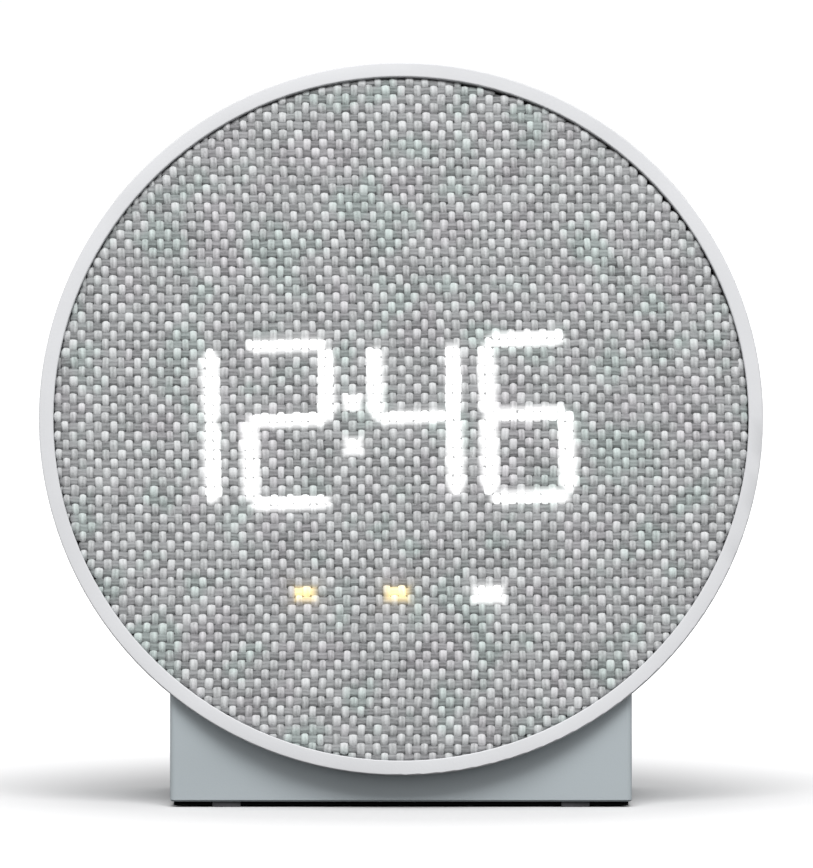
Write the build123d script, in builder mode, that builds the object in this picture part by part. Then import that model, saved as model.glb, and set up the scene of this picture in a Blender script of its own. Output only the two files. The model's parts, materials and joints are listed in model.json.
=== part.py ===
from build123d import *
from math import cos, radians, sin, tan
import os

# A round smart speaker: a shallow drum that leans back on a block stand, with a woven front, a lit
# clock display behind the weave, a small driver above it, controls on top and sockets behind.
# Row frame: millimetres, +Z up, the front faces -Y, the origin is on the table under the middle.
# Drum parts are placed by their depth behind the front of the ring, on planes parallel to the face.

# ---- driving dimensions -------------------------------------------------------------------------
drum_radius = 65.0
drum_depth = 48.0
tilt = 12.0  # degrees that the face leans back
side_draft = 14.0  # degrees that the drum's side closes towards the rear
face_height = 69.7  # table to the middle of the ring
shell_wall = 2.2
stand_width = 82.6
stand_depth = 53.0
stand_top = 25.0
display_roll = 1.5  # degrees that the display sits turned behind the weave
driver_height = 36.0  # middle of the driver above the middle of the face
button_travel = 0.5
mute_travel = 3.0

# ---- the drum's form ----------------------------------------------------------------------------
ring_band = 1.2  # straight band behind the ring's front
ring_round = 0.2
rear_round = 6.0
mouth_radius = 62.4
mouth_depth = 6.0
rear_opening = 42.5
cover_radius = 47.0
cover_thickness = 2.2
cover_seat = drum_depth - cover_thickness
flange_front = drum_depth - 2 * cover_thickness
inner_offset = shell_wall / cos(radians(side_draft))

lean_y, lean_z = sin(radians(tilt)), cos(radians(tilt))
front_reach = (drum_radius - ring_round) * lean_y + ring_round
rear_flat = drum_radius - (drum_depth - ring_band) * tan(radians(side_draft)) - rear_round
rear_reach = (rear_flat + 1) * lean_y + (drum_depth - rear_round) * lean_z + rear_round
face_y = (front_reach - rear_reach) / 2  # puts the origin under the middle of the depth

# ---- planes and axes ----------------------------------------------------------------------------
face = Plane(origin=(0, face_y, face_height), x_dir=(1, 0, 0), z_dir=(0, -lean_z, lean_y))
profile = Plane(origin=face.origin, x_dir=face.x_dir, z_dir=-face.y_dir)  # radius, -depth
side = Plane(origin=face.origin, x_dir=face.y_dir, z_dir=face.x_dir)  # height, -depth
drum_axis = Axis(face.origin, face.z_dir)
roll_x, roll_y = cos(radians(display_roll)), sin(radians(display_roll))
display_face = Plane(
    origin=face.origin, x_dir=face.x_dir * roll_x + face.y_dir * roll_y, z_dir=face.z_dir
)
driver_middle = face.origin + face.y_dir * driver_height
driver_profile = Plane(origin=driver_middle, x_dir=face.x_dir, z_dir=-face.y_dir)
driver_axis = Axis(driver_middle, face.z_dir)

# ---- screws: a size of 1 is an M2.4 pan head ------------------------------------------------------
thread_radius, pilot_radius, pass_radius = 1.2, 1.25, 1.5
head_radius, head_height = 2.3, 1.5
drive_length, drive_width, drive_depth = 2.6, 0.6, 0.7
small = 0.6
middling = 0.8

os.makedirs("parts", exist_ok=True)


def save(piece, name):
    """Labels a finished piece and writes it under its own name."""
    piece.part.label = name
    export_step(piece.part, f"parts/{name}.step")


def at_depth(depth):
    """The plane parallel to the face at a depth behind the ring's front."""
    return face.offset(-depth)


def side_radius(depth):
    """The drum's outer radius at a depth on its tapering side."""
    return drum_radius - (depth - ring_band) * tan(radians(side_draft))


def drum_body(grow=0.0):
    """The drum's outer form as one solid, grown all over by a margin."""
    with BuildPart() as body:
        with BuildSketch(profile) as form:
            with BuildLine():
                Polyline(
                    (-10, 0),
                    (drum_radius, 0),
                    (drum_radius, -ring_band),
                    (side_radius(drum_depth), -drum_depth),
                    (-10, -drum_depth),
                    close=True,
                )
            make_face()
            fillet(form.vertices().group_by(Axis.Y)[-1].sort_by(Axis.X)[-1], ring_round)
            fillet(form.vertices().group_by(Axis.Y)[0].sort_by(Axis.X)[-1], rear_round)
            if grow:
                offset(amount=grow, kind=Kind.ARC)
            with Locations((100, 0)):
                Rectangle(200, 400, mode=Mode.INTERSECT)
        revolve(axis=drum_axis)
    return body.part


def screws(places, seat, length, size=1.0, up=False):
    """Screws whose heads stand on a seat plane: heads towards +Z and threads towards -Z, or the reverse."""
    way = -1 if up else 1
    with BuildPart() as group:
        with BuildSketch(seat):
            with Locations(*places):
                Circle(thread_radius * size)
        extrude(amount=-way * length)
        with BuildSketch(seat):
            with Locations(*places):
                Circle(head_radius * size)
        extrude(amount=way * head_height * size)
        with BuildSketch(seat.offset(way * head_height * size)):
            with Locations(*places):
                Rectangle(drive_length * size, drive_width * size)
                Rectangle(drive_width * size, drive_length * size)
        extrude(amount=-way * drive_depth * size, mode=Mode.SUBTRACT)
    return group


def ring_places(radius, angles, middle=0.0):
    """Places on a circle of the face, by angle from straight up, clockwise as seen from the front."""
    return [(radius * sin(radians(a)), middle + radius * cos(radians(a))) for a in angles]


# ---- layout shared by several pieces --------------------------------------------------------------
baffle_front = 7.2
baffle_rear = 9.4
baffle_radius = 60.3
baffle_boss_radius = 3.2
baffle_boss_places = ring_places(56.5, (45, 90, 135, 225, 270, 315))
cover_boss_radius = 2.6
cover_boss_places = ring_places(44.6, (50, 130, 230, 310))
cover_screw_seat = 46.8

top_depth = 36.5  # depth of the middle of the controls
top_normal = face.y_dir * cos(radians(side_draft)) - face.z_dir * sin(radians(side_draft))
top_point = face.origin + face.y_dir * side_radius(top_depth) - face.z_dir * top_depth
top = Plane(origin=top_point, x_dir=(1, 0, 0), z_dir=top_normal)
round_button_x = 15.0
round_button_radius = 4.2
action_length, action_width = 14.0, 7.0
button_gap = 0.3
button_lip = 0.6
button_bottom = -7.6
stem_radius = 1.2
stem_tip = -8.9
key_board_top = -12.0
key_board_thickness = 1.2
key_screw_places = [(-21.6, 3.0), (21.6, 3.0)]
key_boss_radius = 1.9
microphone_places = [(-24.8, -2.0), (24.8, -2.0)]
microphone_port = 0.6

stand_front = face_y - 8.6
stand_back = stand_front + stand_depth
stand_middle = stand_front + stand_depth / 2
stand_bottom = 1.0
stand_wall = 2.4
stand_gap = 0.1
stand_screw_places = [(x, stand_middle + y) for x in (-14, 14) for y in (-9, 9)]
stand_screw_seat = 4.7
stand_boss_radius = 3.2
stand_boss_top = 17.0
plate_screw_places = [(x, stand_middle + y) for x in (-35, 35) for y in (-13, 13)]

board_front = 33.9
board_rear = 35.5
board_screw_places = [(x, y) for x in (-21.5, 21.5) for y in (-31.5, 3.5)]
jack_place = (-13.0, -22.0)
usb_place = (8.0, -22.0)
mute_place = (-12.0, -4.0)
reset_place = (10.0, -6.0)

# ---- drum shell: ring, tapering side and rear flange in one moulding ------------------------------
with BuildPart() as shell_cavity:
    with BuildSketch(profile):
        with BuildLine():
            Polyline(
                (0, 1),
                (mouth_radius, 1),
                (mouth_radius, -mouth_depth),
                (side_radius(mouth_depth + 1) - inner_offset, -mouth_depth - 1),
                (side_radius(flange_front) - inner_offset, -flange_front),
                (rear_opening, -flange_front),
                (rear_opening, -cover_seat),
                (cover_radius + 0.15, -cover_seat),
                (cover_radius + 0.15, -drum_depth - 1),
                (0, -drum_depth - 1),
                close=True,
            )
        make_face()
    revolve(axis=drum_axis)
    with BuildSketch(at_depth(baffle_rear)):
        with Locations(*baffle_boss_places):
            Circle(baffle_boss_radius)
    extrude(amount=-(flange_front - baffle_rear), mode=Mode.SUBTRACT)
    with BuildSketch(at_depth(cover_seat)):
        with Locations(*cover_boss_places):
            Circle(cover_boss_radius)
    extrude(amount=9, mode=Mode.SUBTRACT)
    with BuildSketch(Plane.XY):
        with Locations(*stand_screw_places):
            Circle(stand_boss_radius)
    extrude(amount=stand_boss_top, mode=Mode.SUBTRACT)
    with BuildSketch(top.offset(key_board_top)):
        with Locations(*key_screw_places):
            Circle(key_boss_radius)
    extrude(amount=12, mode=Mode.SUBTRACT)

with BuildPart() as drum_shell:
    add(drum_body())
    add(shell_cavity.part, mode=Mode.SUBTRACT)
    mouth_edges = drum_shell.edges().filter_by(GeomType.CIRCLE)
    mouth_edges = mouth_edges.filter_by(lambda edge: abs(edge.radius - mouth_radius) < 0.01)
    fillet(mouth_edges.sort_by(drum_axis)[-1], 0.25)
    with BuildSketch(at_depth(baffle_rear)):
        with Locations(*baffle_boss_places):
            Circle(pilot_radius)
    extrude(amount=-9, mode=Mode.SUBTRACT)
    with BuildSketch(at_depth(cover_seat)):
        with Locations(*cover_boss_places):
            Circle(pilot_radius * middling)
    extrude(amount=8, mode=Mode.SUBTRACT)
    with BuildSketch(Plane.XY):
        with Locations(*stand_screw_places):
            Circle(pilot_radius)
    extrude(amount=stand_boss_top - 1.5, mode=Mode.SUBTRACT)
    with BuildSketch(top.offset(key_board_top)):
        with Locations(*key_screw_places):
            Circle(pilot_radius * small)
    extrude(amount=4, mode=Mode.SUBTRACT)
    with BuildSketch(top.offset(-11)):
        with Locations((-round_button_x, 0), (round_button_x, 0)):
            Circle(round_button_radius + button_gap)
        SlotOverall(action_length + 2 * button_gap, action_width + 2 * button_gap)
        with Locations(*microphone_places):
            Circle(microphone_port)
    extrude(amount=20, mode=Mode.SUBTRACT)
save(drum_shell, "drum_shell")

# ---- rear cover: a flush disc with posts for the main board and openings for the sockets ----------
with BuildPart() as rear_cover:
    with BuildSketch(at_depth(drum_depth)):
        Circle(cover_radius)
    extrude(amount=cover_thickness)
    fillet(rear_cover.edges().sort_by(drum_axis)[0], 0.4)
    with BuildSketch(at_depth(cover_seat)):
        with Locations(*board_screw_places):
            Circle(3.0)
    extrude(amount=cover_seat - board_rear)
    with BuildSketch(at_depth(board_rear)):
        with Locations(*board_screw_places):
            Circle(pilot_radius * middling)
    extrude(amount=-8, mode=Mode.SUBTRACT)
    with BuildSketch(at_depth(cover_screw_seat)):
        with Locations(*cover_boss_places):
            Circle(head_radius * middling + 0.15)
    extrude(amount=-2, mode=Mode.SUBTRACT)
    with BuildSketch(at_depth(drum_depth)):
        with Locations(*cover_boss_places):
            Circle(pass_radius * middling)
        with Locations(jack_place):
            Circle(4.2)
        with Locations(usb_place):
            Rectangle(13.5, 6.1)
        with Locations(mute_place):
            Rectangle(8.0, 3.4)
        with Locations(reset_place):
            Circle(0.7)
        with Locations((0, 22), (0, 25), (0, 28), (0, 31), (0, 34)):
            SlotOverall(30, 1.4)
    extrude(amount=cover_thickness, mode=Mode.SUBTRACT)
    with BuildSketch(at_depth(drum_depth)):
        with Locations((0, 11)):
            RectangleRounded(34, 11, 1.5)
    extrude(amount=0.25, mode=Mode.SUBTRACT)
save(rear_cover, "rear_cover")

rear_cover_screws = screws(cover_boss_places, at_depth(cover_screw_seat), 7.0, middling, up=True)
save(rear_cover_screws, "rear_cover_screws")

# ---- grille: a stiff frame with the cloth wrapped over it ----------------------------------------
cloth_front = 0.7
frame_front = 1.3
frame_plate_rear = 3.0
cloth_radius = 62.0
frame_radius = 61.4

segment_width = 3.0
segment_gap = 0.5
digit_half_width = 7.0
bar_top, bar_bottom = 13.75, -15.1
digit_places = (-20.2, 2.6, 22.7)
one_place = -34.1
colon_places = [(-8.7, 2.95), (-8.7, -5.0)]
colon_size = 2.9
window_width, window_height = 70.5, 35.7
window_place = (-2.25, -0.65)
indicator_height = -32.1
indicator_marks = [(-17.25, 3.6, 2.4), (-0.6, 4.0, 2.4), (15.7, 5.6, 3.1)]  # x, width, height

upright_bars = [(bar_top / 2, bar_top - segment_gap), (bar_bottom / 2, -bar_bottom - segment_gap)]
segment_marks = [(one_place, y, length, 90) for y, length in upright_bars]
for digit in digit_places:
    for y, length in upright_bars:
        segment_marks.append((digit - digit_half_width, y, length, 90))
        segment_marks.append((digit + digit_half_width, y, length, 90))
    for y in (bar_top, 0, bar_bottom):
        segment_marks.append((digit, y, 2 * digit_half_width - segment_gap, 0))
segment_places = [(x, y) for x, y, length, turn in segment_marks]


def segment_shapes(margin=0.0):
    """Draws every display segment and colon dot in the open sketch, drawn in by a margin."""
    half = segment_width / 2 - margin
    for x, y, length, turn in segment_marks:
        reach = length / 2 - margin
        with Locations((x, y)):
            Polygon(
                (-reach, 0),
                (-reach + half, -half),
                (reach - half, -half),
                (reach, 0),
                (reach - half, half),
                (-reach + half, half),
                rotation=turn,
            )
    with Locations(*colon_places):
        Rectangle(colon_size - 2 * margin, colon_size - 2 * margin)


with BuildPart() as grille_frame:
    with BuildSketch(profile):
        with BuildLine():
            Polyline(
                (0, -frame_front),
                (frame_radius, -frame_front),
                (frame_radius, -mouth_depth),
                (60.8, -mouth_depth),
                (60.8, -baffle_front),
                (59.2, -baffle_front),
                (59.2, -frame_plate_rear),
                (0, -frame_plate_rear),
                close=True,
            )
        make_face()
    revolve(axis=drum_axis)
    with BuildSketch(display_face.offset(-frame_front)):
        with Locations(window_place):
            Rectangle(window_width + 0.4, window_height + 0.4)
    extrude(amount=-2, mode=Mode.SUBTRACT)
    with BuildSketch(at_depth(frame_front)):
        for x, width, height in indicator_marks:
            with Locations((x, indicator_height)):
                Rectangle(width + 0.2, height + 0.2)
        with Locations((0, driver_height)):
            with HexLocations(2.1, 7, 7):
                Circle(1.3)
    extrude(amount=-2, mode=Mode.SUBTRACT)
save(grille_frame, "grille_frame")

with BuildPart() as grille_cloth:
    with BuildSketch(profile):
        with BuildLine():
            Polyline(
                (0, -cloth_front),
                (cloth_radius, -cloth_front),
                (cloth_radius, -mouth_depth),
                (frame_radius, -mouth_depth),
                (frame_radius, -frame_front),
                (0, -frame_front),
                close=True,
            )
        make_face()
    revolve(axis=drum_axis)
    cloth_edges = grille_cloth.edges().filter_by(GeomType.CIRCLE)
    cloth_edges = cloth_edges.filter_by(lambda edge: abs(edge.radius - cloth_radius) < 0.01)
    fillet(cloth_edges.sort_by(drum_axis)[-1], 0.45)
save(grille_cloth, "grille_cloth")

# ---- front baffle: carries the display, the driver and the grille ---------------------------------
display_board_front = 5.2
display_board_rear = 6.8
display_screw_places = [(x, y) for x in (-36.5, 32.5) for y in (-34.0, 21.0)]
driver_hole = 17.2
driver_screw_places = ring_places(19.4, (45, 135, 225, 315), driver_height)
chamber_screw_places = [(-26.6, driver_height - 4), (26.6, driver_height - 4)]
ribbon_place = (-6.0, -26.0)

with BuildPart() as front_baffle:
    with BuildSketch(at_depth(baffle_front)):
        Circle(baffle_radius)
    extrude(amount=baffle_front - baffle_rear)
    with BuildSketch(display_face.offset(-baffle_front)):
        with Locations(*display_screw_places):
            Circle(2.6)
    extrude(amount=baffle_front - display_board_rear)
    with BuildSketch(display_face.offset(-display_board_rear)):
        with Locations(*display_screw_places):
            Circle(pilot_radius * small)
    extrude(amount=-5, mode=Mode.SUBTRACT)
    with BuildSketch(at_depth(baffle_front)):
        with Locations((0, driver_height)):
            Circle(driver_hole)
        with Locations(*baffle_boss_places):
            Circle(pass_radius)
        with Locations(ribbon_place):
            Rectangle(13, 4)
        with Locations(*driver_screw_places, *chamber_screw_places):
            Circle(pilot_radius * small)
    extrude(amount=-5, mode=Mode.SUBTRACT)
save(front_baffle, "front_baffle")

baffle_screws = screws(baffle_boss_places, at_depth(baffle_front), 9.0)
save(baffle_screws, "baffle_screws")

# ---- clock display: a board with its reflector, light guides and dies -----------------------------
die_height = 0.6
guide_front, guide_rear = 1.35, 4.5

with BuildPart() as display_reflector:
    with BuildSketch(display_face.offset(-1.7)):
        with Locations(window_place):
            Rectangle(window_width, window_height)
    extrude(amount=1.7 - display_board_front)
    with BuildSketch(display_face.offset(-1.7)):
        segment_shapes()
    extrude(amount=-5, mode=Mode.SUBTRACT)
save(display_reflector, "display_reflector")

with BuildPart() as segment_light_guides:
    with BuildSketch(display_face.offset(-guide_front)):
        segment_shapes(margin=0.02)
    extrude(amount=guide_front - guide_rear)
save(segment_light_guides, "segment_light_guides")

with BuildPart() as display_board:
    with BuildSketch(display_face.offset(-display_board_front)):
        with Locations((-2, -8.9)):
            Rectangle(76, 54.2)
        with Locations((-36.5, 20.6), (32.5, 20.6)):
            Rectangle(7, 6)
        with Locations(*display_screw_places):
            Circle(pass_radius * small, mode=Mode.SUBTRACT)
    extrude(amount=display_board_front - display_board_rear)
    with BuildSketch(display_face.offset(-display_board_rear)):
        with Locations(ribbon_place):
            Rectangle(11, 2.4)
    extrude(amount=-1.6)
save(display_board, "display_board")

with BuildPart() as display_leds:
    with BuildSketch(display_face.offset(-display_board_front)):
        with Locations(*segment_places, *colon_places):
            Rectangle(1.6, 1.6)
    extrude(amount=die_height)
save(display_leds, "display_leds")

with BuildPart() as display_driver_chip:
    with BuildSketch(display_face.offset(-display_board_front)):
        with Locations((-10, -24.5)):
            Rectangle(9, 6)
    extrude(amount=1.1)
save(display_driver_chip, "display_driver_chip")

display_screws = screws(display_screw_places, display_face.offset(-display_board_front), 4.0, small)
save(display_screws, "display_screws")

with BuildPart() as indicator_light_guides:
    with BuildSketch(at_depth(frame_plate_rear)):
        with Locations((-0.6, indicator_height)):
            Rectangle(44, 4.4)
    extrude(amount=-0.9)
    with BuildSketch(at_depth(frame_plate_rear)):
        for x, width, height in indicator_marks:
            with Locations((x, indicator_height)):
                Rectangle(width, height)
    extrude(amount=frame_plate_rear - guide_front)
save(indicator_light_guides, "indicator_light_guides")

with BuildPart() as indicator_leds:
    with BuildSketch(at_depth(display_board_front)):
        for x, width, height in indicator_marks:
            with Locations((x, indicator_height)):
                Rectangle(1.8, 1.4)
    extrude(amount=die_height)
save(indicator_leds, "indicator_leds")

# ---- driver: turned pieces about its own axis -----------------------------------------------------
flange_radius = 20.8
coil_radius = 6.4
surround_radius = 15.1
cone_rim, cone_rim_depth, cone_neck_depth = 13.5, 10.6, 15.0

with BuildPart() as driver_gasket:
    with BuildSketch(at_depth(baffle_rear)):
        with Locations((0, driver_height)):
            Circle(flange_radius)
            Circle(18.3, mode=Mode.SUBTRACT)
        with Locations(*driver_screw_places):
            Circle(pass_radius * small, mode=Mode.SUBTRACT)
    extrude(amount=-1.1)
save(driver_gasket, "driver_gasket")

with BuildPart() as driver_basket:
    with BuildSketch(driver_profile):
        with BuildLine():
            Polyline(
                (16.8, -10.5),
                (flange_radius, -10.5),
                (flange_radius, -11.7),
                (18.0, -11.7),
                (13.5, -17.0),
                (11.0, -17.0),
                (11.0, -15.1),
                (12.6, -15.1),
                (16.8, -11.0),
                close=True,
            )
        make_face()
    revolve(axis=driver_axis)
    with BuildSketch(at_depth(12.2)):
        with Locations((0, driver_height)):
            with PolarLocations(15.4, 4, start_angle=0):
                Rectangle(6.4, 9)
    extrude(amount=-2.4, mode=Mode.SUBTRACT)
    with BuildSketch(at_depth(10.5)):
        with Locations(*driver_screw_places):
            Circle(pass_radius * small)
    extrude(amount=-1.2, mode=Mode.SUBTRACT)
save(driver_basket, "driver_basket")

with BuildPart() as driver_surround:
    with BuildSketch(driver_profile):
        with Locations((surround_radius, -10.5)):
            Circle(1.6)
            Circle(1.2, mode=Mode.SUBTRACT)
            with Locations((0, -2)):
                Rectangle(6, 4, mode=Mode.SUBTRACT)
        with Locations((17.2, -10.25)):
            Rectangle(2.0, 0.5)
    revolve(axis=driver_axis)
save(driver_surround, "driver_surround")

with BuildPart() as driver_cone:
    with BuildSketch(driver_profile):
        with BuildLine():
            Polyline(
                (13.9, -10.5),
                (13.9, -10.8),
                (13.3, -10.8),
                (coil_radius, -cone_neck_depth - 0.3),
                (coil_radius, -cone_neck_depth + 0.3),
                (13.2, -10.5),
                close=True,
            )
        make_face()
    revolve(axis=driver_axis)
save(driver_cone, "driver_cone")

cap_sphere, cap_radius, cap_depth = 17.4, 7.4, 12.05
with BuildPart() as driver_dust_cap:
    with BuildSketch(driver_profile):
        with Locations((0, -cap_depth - cap_sphere)):
            Circle(cap_sphere)
            Circle(cap_sphere - 0.3, mode=Mode.SUBTRACT)
        with Locations((cap_radius / 2, -cap_depth)):
            Rectangle(cap_radius, 8, mode=Mode.INTERSECT)
    revolve(axis=driver_axis)
save(driver_dust_cap, "driver_dust_cap")

with BuildPart() as driver_voice_coil:
    with BuildSketch(driver_profile):
        with Locations((coil_radius - 0.1, -18.0)):
            Rectangle(0.2, 6.6)
        with Locations((coil_radius + 0.25, -17.9)):
            Rectangle(0.5, 4.2)
    revolve(axis=driver_axis)
save(driver_voice_coil, "driver_voice_coil")

with BuildPart() as driver_spider:
    with BuildSketch(driver_profile):
        with BuildLine():
            Polyline(
                (coil_radius, -15.5), (7.4, -14.9), (8.6, -15.4), (9.8, -14.8), (11.0, -15.1), (12.3, -15.1)
            )
        trace(line_width=0.25)
        with Locations((3.2, -15)):
            Rectangle(6.4, 6, mode=Mode.SUBTRACT)
        with Locations((14.0, -17.1)):
            Rectangle(6, 4, mode=Mode.SUBTRACT)
    revolve(axis=driver_axis)
save(driver_spider, "driver_spider")

with BuildPart() as driver_top_plate:
    with BuildSketch(at_depth(17.0)):
        with Locations((0, driver_height)):
            Circle(13.5)
            Circle(7.3, mode=Mode.SUBTRACT)
    extrude(amount=-1.8)
save(driver_top_plate, "driver_top_plate")

with BuildPart() as driver_magnet:
    with BuildSketch(at_depth(18.8)):
        with Locations((0, driver_height)):
            Circle(11.5)
            Circle(7.6, mode=Mode.SUBTRACT)
    extrude(amount=-4.5)
save(driver_magnet, "driver_magnet")

with BuildPart() as driver_yoke:
    with BuildSketch(at_depth(23.3)):
        with Locations((0, driver_height)):
            Circle(11.0)
    extrude(amount=-1.8)
    with BuildSketch(at_depth(23.3)):
        with Locations((0, driver_height)):
            Circle(5.9)
    extrude(amount=6.3)
save(driver_yoke, "driver_yoke")

driver_screws = screws(driver_screw_places, at_depth(11.7), 4.2, small, up=True)
save(driver_screws, "driver_screws")

# ---- sealed chamber behind the driver -------------------------------------------------------------
chamber_radius = 23.4
chamber_draft = 12.0
chamber_wall = 1.6
chamber_front, chamber_rear = 9.9, 27.0
lead_place = (0, driver_height - 14.6)

with BuildPart() as chamber_gasket:
    with BuildSketch(at_depth(baffle_rear)):
        with Locations((0, driver_height)):
            Circle(chamber_radius)
            Circle(chamber_radius - chamber_wall, mode=Mode.SUBTRACT)
    extrude(amount=baffle_rear - chamber_front)
save(chamber_gasket, "chamber_gasket")

with BuildPart() as acoustic_chamber:
    with BuildSketch(at_depth(chamber_front)):
        with Locations((0, driver_height)):
            Circle(chamber_radius)
    extrude(amount=chamber_front - chamber_rear, taper=chamber_draft)
    with BuildSketch(at_depth(baffle_rear)):
        with Locations(*chamber_screw_places):
            Rectangle(9.4, 8)
    extrude(amount=-2.4)
    with BuildSketch(at_depth(chamber_front)):
        with Locations((0, driver_height)):
            Circle(chamber_radius - chamber_wall)
    extrude(amount=chamber_front - chamber_rear + chamber_wall, taper=chamber_draft, mode=Mode.SUBTRACT)
    with BuildSketch(at_depth(baffle_rear)):
        with Locations((0, driver_height)):
            Circle(chamber_radius)
    extrude(amount=baffle_rear - chamber_front, mode=Mode.SUBTRACT)
    with BuildSketch(at_depth(baffle_rear)):
        with Locations(*chamber_screw_places):
            Circle(pass_radius * small)
    extrude(amount=-3, mode=Mode.SUBTRACT)
    with BuildSketch(at_depth(chamber_rear - 3)):
        with Locations(lead_place):
            Circle(0.85)
    extrude(amount=-5, mode=Mode.SUBTRACT)
save(acoustic_chamber, "acoustic_chamber")

chamber_screws = screws(chamber_screw_places, at_depth(baffle_rear + 2.4), 4.2, small, up=True)
save(chamber_screws, "chamber_screws")

# ---- main board and what stands on it -------------------------------------------------------------
with BuildPart() as main_board:
    with BuildSketch(at_depth(board_front)):
        with Locations((0, -14)):
            RectangleRounded(50, 42, 1.5)
        with Locations(*board_screw_places):
            Circle(pass_radius * middling, mode=Mode.SUBTRACT)
    extrude(amount=board_front - board_rear)
    with BuildSketch(at_depth(board_front)):
        with Locations((ribbon_place[0], -30), (8, 4)):
            Rectangle(11, 3)
        with Locations((0, 2)):
            Rectangle(5, 4)
    extrude(amount=1.8)
save(main_board, "main_board")

main_board_screws = screws(board_screw_places, at_depth(board_front), 8.0, middling)
save(main_board_screws, "main_board_screws")

with BuildPart() as processor_shield:
    with BuildSketch(at_depth(board_front)):
        with Locations((-9, -13)):
            RectangleRounded(16, 16, 0.6)
    extrude(amount=2.2)
    with BuildSketch(at_depth(board_front)):
        with Locations((-9, -13)):
            Rectangle(15.4, 15.4)
    extrude(amount=1.9, mode=Mode.SUBTRACT)
save(processor_shield, "processor_shield")

with BuildPart() as amplifier_chip:
    with BuildSketch(at_depth(board_front)):
        with Locations((9, -14)):
            Rectangle(7, 7)
    extrude(amount=1.0)
save(amplifier_chip, "amplifier_chip")

with BuildPart() as board_capacitors:
    with BuildSketch(at_depth(board_front)):
        with Locations((19, -8), (19, -16), (19, -24)):
            Circle(3.15)
    extrude(amount=7.5)
save(board_capacitors, "board_capacitors")

with BuildPart() as wireless_antenna:
    with BuildSketch(at_depth(board_front)):
        with Locations((-12, 3)):
            Rectangle(9, 2.6)
    extrude(amount=1.2)
save(wireless_antenna, "wireless_antenna")

# ---- sockets and small switches on the rear of the main board -------------------------------------
jack_bore = 2.8
jack_pin_radius = 1.0
jack_rear = cover_seat - 0.1
with BuildPart() as dc_jack:
    with BuildSketch(at_depth(board_rear)):
        with Locations(jack_place):
            RectangleRounded(9, 9, 0.8)
    extrude(amount=board_rear - jack_rear)
    with BuildSketch(at_depth(jack_rear)):
        with Locations(jack_place):
            Circle(jack_bore)
    extrude(amount=9.0, mode=Mode.SUBTRACT)
save(dc_jack, "dc_jack")

with BuildPart() as dc_jack_pin:
    with BuildSketch(at_depth(jack_rear - 9.0)):
        with Locations(jack_place):
            Circle(jack_pin_radius)
    extrude(amount=-8.4)
    fillet(dc_jack_pin.edges().sort_by(drum_axis)[0], 0.3)
save(dc_jack_pin, "dc_jack_pin")

with BuildPart() as usb_port_shell:
    with BuildSketch(at_depth(board_rear)):
        with Locations(usb_place):
            Rectangle(13.1, 5.7)
    extrude(amount=board_rear - 47.6)
    with BuildSketch(at_depth(board_rear + 0.3)):
        with Locations(usb_place):
            Rectangle(12.5, 5.1)
    extrude(amount=-13, mode=Mode.SUBTRACT)
save(usb_port_shell, "usb_port_shell")

with BuildPart() as usb_port_tongue:
    with BuildSketch(at_depth(board_rear + 0.3)):
        with Locations(usb_place):
            Rectangle(12.5, 5.1)
    extrude(amount=-1.5)
    with BuildSketch(at_depth(board_rear + 1.8)):
        with Locations((usb_place[0], usb_place[1] + 1.1)):
            Rectangle(11.1, 1.84)
    extrude(amount=-8.5)
save(usb_port_tongue, "usb_port_tongue")

mute_x, mute_y = mute_place
slider_x = mute_x + mute_travel / 2  # the slider rests at its microphones-on end
with BuildPart() as mute_switch_body:
    with BuildSketch(at_depth(board_rear)):
        with Locations(mute_place):
            Rectangle(11, 6)
    extrude(amount=-5.0)
    with BuildSketch(at_depth(board_rear + 1.2)):
        with Locations(mute_place):
            Rectangle(9, 4)
    extrude(amount=-3.0, mode=Mode.SUBTRACT)
    with BuildSketch(at_depth(board_rear + 1.2)):
        with Locations(mute_place):
            Rectangle(7.2, 2.6)
    extrude(amount=-5, mode=Mode.SUBTRACT)
save(mute_switch_body, "mute_switch_body")

with BuildPart() as mute_slider:
    with BuildSketch(at_depth(board_rear + 1.3)):
        with Locations((slider_x, mute_y)):
            Rectangle(5, 3.9)
    extrude(amount=-2.8)
    with BuildSketch(at_depth(board_rear + 1.3)):
        with Locations((slider_x, mute_y)):
            Rectangle(3.4, 2.5)
    extrude(amount=-9)
    with BuildSketch(at_depth(board_rear + 6)):
        with Locations((slider_x, mute_y)):
            RectangleRounded(4.2, 2.8, 0.4)
    extrude(amount=-7.1)
save(mute_slider, "mute_slider")

with BuildPart() as reset_switch_body:
    with BuildSketch(at_depth(board_rear)):
        with Locations(reset_place):
            Rectangle(5, 5)
    extrude(amount=-3.5)
    with BuildSketch(at_depth(board_rear + 1.9)):
        with Locations(reset_place):
            Circle(1.25)
    extrude(amount=-3, mode=Mode.SUBTRACT)
save(reset_switch_body, "reset_switch_body")

with BuildPart() as reset_plunger:
    with BuildSketch(at_depth(board_rear + 2.3)):
        with Locations(reset_place):
            Circle(1.2)
    extrude(amount=-2.6)
save(reset_plunger, "reset_plunger")

# ---- flat ribbons and the speaker's lead ----------------------------------------------------------
ribbon_width = 8.0
ribbon_thickness = 0.3
ribbon_route = [(-26.0, -8.4), (-26.0, -14.0), (-30.0, -20.0), (-30.0, -32.1)]
key_ribbon_route = [(43.05, -33.1), (39.55, -32.4), (20.0, -31.0), (4.0, -31.0), (4.0, -32.1)]

with BuildPart() as display_ribbon:
    with BuildSketch(side.offset(ribbon_place[0])):
        with BuildLine():
            FilletPolyline(*ribbon_route, radius=2.0)
        trace(line_width=ribbon_thickness)
    extrude(amount=ribbon_width / 2, both=True)
save(display_ribbon, "display_ribbon")

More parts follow.
